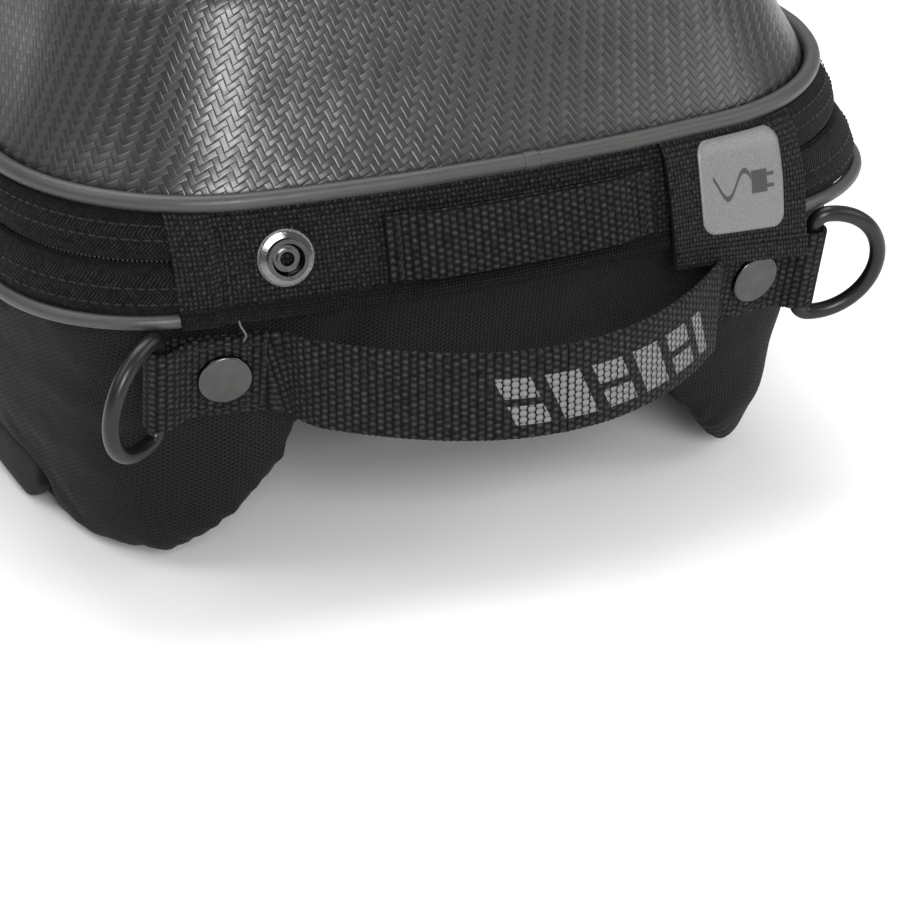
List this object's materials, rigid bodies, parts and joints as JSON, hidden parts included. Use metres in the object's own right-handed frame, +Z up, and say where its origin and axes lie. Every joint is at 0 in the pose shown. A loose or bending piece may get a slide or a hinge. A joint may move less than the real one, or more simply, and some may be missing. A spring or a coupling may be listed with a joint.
{
  "type": "tank bag",
  "caption": "Motorcycle tank bag with a moulded hinged lid, zipped band, padded saddle base, magnet flaps, carry handle and strap rings.",
  "frame": {"origin": "centre of the bag's bounding box, on the surface its legs rest on", "axes": "+X to the bag's right seen from the handle end, +Y away from the handle, +Z up"},
  "size_m": [0.2602, 0.3679, 0.175],
  "materials": {
    "lid_skin": "black moulded foam skin embossed with a carbon twill, semi-gloss",
    "lining": "smooth dark grey lining",
    "pocket_mesh": "open black mesh",
    "piping": "smooth satin vinyl",
    "zip_tape": "herringbone zip tape",
    "zip_coil": "nylon coil",
    "slider_metal": "satin black",
    "panel_weave": "coarse black oxford weave",
    "nickel": "polished nickel",
    "clear_plastic": "clear",
    "grommet": "matt black rubber",
    "webbing": "ribbed black webbing",
    "reflective": "silver reflective transfer",
    "hook": "black hook and loop tape",
    "mesh": "dark knitted mesh over foam",
    "board": "matt polyethylene board",
    "saddle": "smooth soft anti-scratch backing",
    "magnet": "plated bar magnets",
    "rivet_metal": "dark pewter, satin",
    "ring_steel": "satin black"
  },
  "bodies": {
    "root": {"base_shell": "mesh", "base_liner": "lining", "floor_board": "board", "saddle_pad": "saddle", "lower_piping": "piping", "zip_tape_lower": "zip_tape", "zip_coil_lower": "zip_coil", "front_panel": "panel_weave", "cable_port": "grommet", "snap_stud": "nickel", "snap_washer": "clear_plastic", "snap_backing": "nickel", "webbing_loop": "webbing", "loop_patch": "hook", "tab_left": "webbing", "tab_right": "webbing", "rivets": "rivet_metal", "rivet_washers": "rivet_metal"},
    "lid": {"lid_shell": "lid_skin", "lid_liner": "lining", "lid_pocket": "pocket_mesh", "upper_piping": "piping", "zip_tape_upper": "zip_tape", "zip_coil_upper": "zip_coil"},
    "cable_flap": {"cable_flap": "panel_weave", "flap_label": "reflective", "hook_patch": "hook"},
    "handle": {"handle_strap": "webbing"},
    "ring_left": {"ring_left": "ring_steel"},
    "ring_right": {"ring_right": "ring_steel"},
    "side_flap_left": {"side_flap_left": "saddle", "magnets_left": "magnet"},
    "side_flap_right": {"side_flap_right": "saddle", "magnets_right": "magnet"},
    "slider_left": {"zip_slider_left": "slider_metal"},
    "slider_right": {"zip_slider_right": "slider_metal"},
    "pull_left": {"zip_pull_left": "slider_metal"},
    "pull_right": {"zip_pull_right": "slider_metal"}
  },
  "joints": [
    {"name": "lid_hinge", "type": "hinge", "parent": "root", "child": "lid", "pos_m": [0, -0.139, 0.118], "axis": [1, 0, 0], "range_deg": [0, 85]},
    {"name": "cable_flap_hinge", "type": "hinge", "parent": "root", "child": "cable_flap", "pos_m": [0.072, -0.1408, 0.1169], "axis": [-0.9703, -0.2419, 0], "range_deg": [0, 100]},
    {"name": "handle_swing", "type": "hinge", "parent": "root", "child": "handle", "pos_m": [0, -0.139, 0.0708], "axis": [1, 0, 0], "range_deg": [-6, 40]},
    {"name": "ring_left_swing", "type": "hinge", "parent": "root", "child": "ring_left", "pos_m": [-0.09681, -0.13659, 0.06973], "axis": [-0.0353, -0.2107, 0.9769], "range_deg": [-30, 44]},
    {"name": "ring_right_swing", "type": "hinge", "parent": "root", "child": "ring_right", "pos_m": [0.09681, -0.13659, 0.06973], "axis": [0.0353, -0.2107, 0.9769], "range_deg": [-30, 6]},
    {"name": "side_flap_left_hinge", "type": "hinge", "parent": "root", "child": "side_flap_left", "pos_m": [-0.1111, 0.015, 0.0198], "axis": [0, 1, 0], "range_deg": [0, 100]},
    {"name": "side_flap_right_hinge", "type": "hinge", "parent": "root", "child": "side_flap_right", "pos_m": [0.1111, 0.015, 0.0198], "axis": [0, -1, 0], "range_deg": [0, 100]},
    {"name": "slider_left_slide", "type": "slide", "parent": "root", "child": "slider_left", "axis": [-1, 0, 0], "range_m": [0, 0.045]},
    {"name": "slider_right_slide", "type": "slide", "parent": "root", "child": "slider_right", "axis": [1, 0, 0], "range_m": [0, 0.045]},
    {"name": "pull_left_swing", "type": "hinge", "parent": "slider_left", "child": "pull_left", "pos_m": [-0.008, 0.18206, 0.10629], "axis": [1, 0, 0], "range_deg": [0, 120]},
    {"name": "pull_right_swing", "type": "hinge", "parent": "slider_right", "child": "pull_right", "pos_m": [0.008, 0.18206, 0.10629], "axis": [1, 0, 0], "range_deg": [0, 120]}
  ]
}
